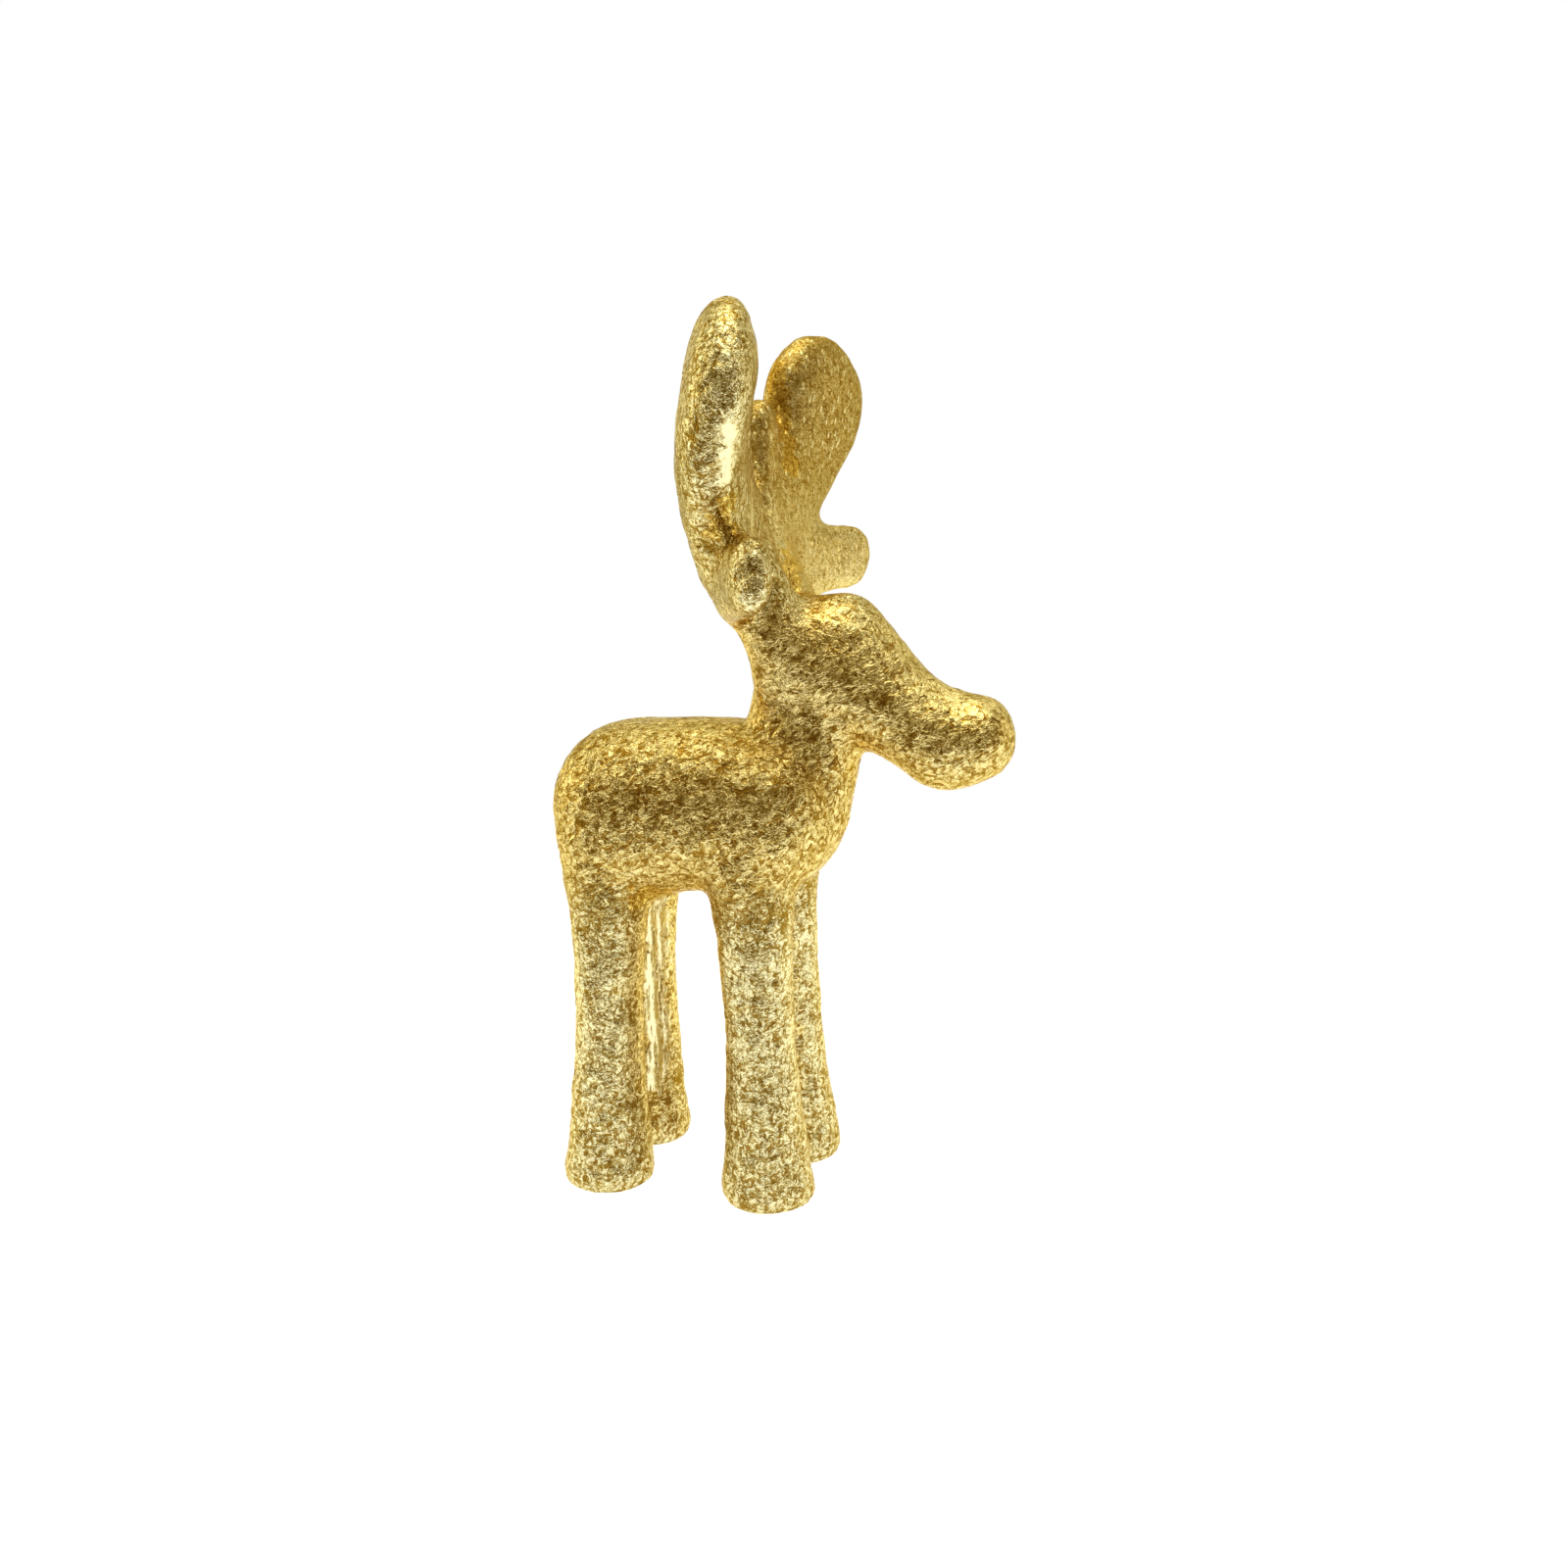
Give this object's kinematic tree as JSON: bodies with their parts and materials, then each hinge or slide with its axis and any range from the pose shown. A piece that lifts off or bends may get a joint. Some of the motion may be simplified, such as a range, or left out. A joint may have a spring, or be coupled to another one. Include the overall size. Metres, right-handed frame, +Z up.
{
  "type": "deer statue",
  "caption": "Standing deer figure with tapering legs, a long plain head and wide lobed antlers, cast in one piece, with flat feet to stand on a shelf or table.",
  "frame": {"origin": "on the ground plane under the middle of the figure's box, level with the undersides of the feet", "axes": "+X is the way the deer looks, +Y is its left side, +Z is up"},
  "size_m": [0.1058, 0.1034, 0.195],
  "materials": {
    "gold_foil": "bright gold foil, crinkled and pitted all over, over cast resin"
  },
  "bodies": {
    "root": {"deer": "gold_foil"}
  },
  "joints": []
}
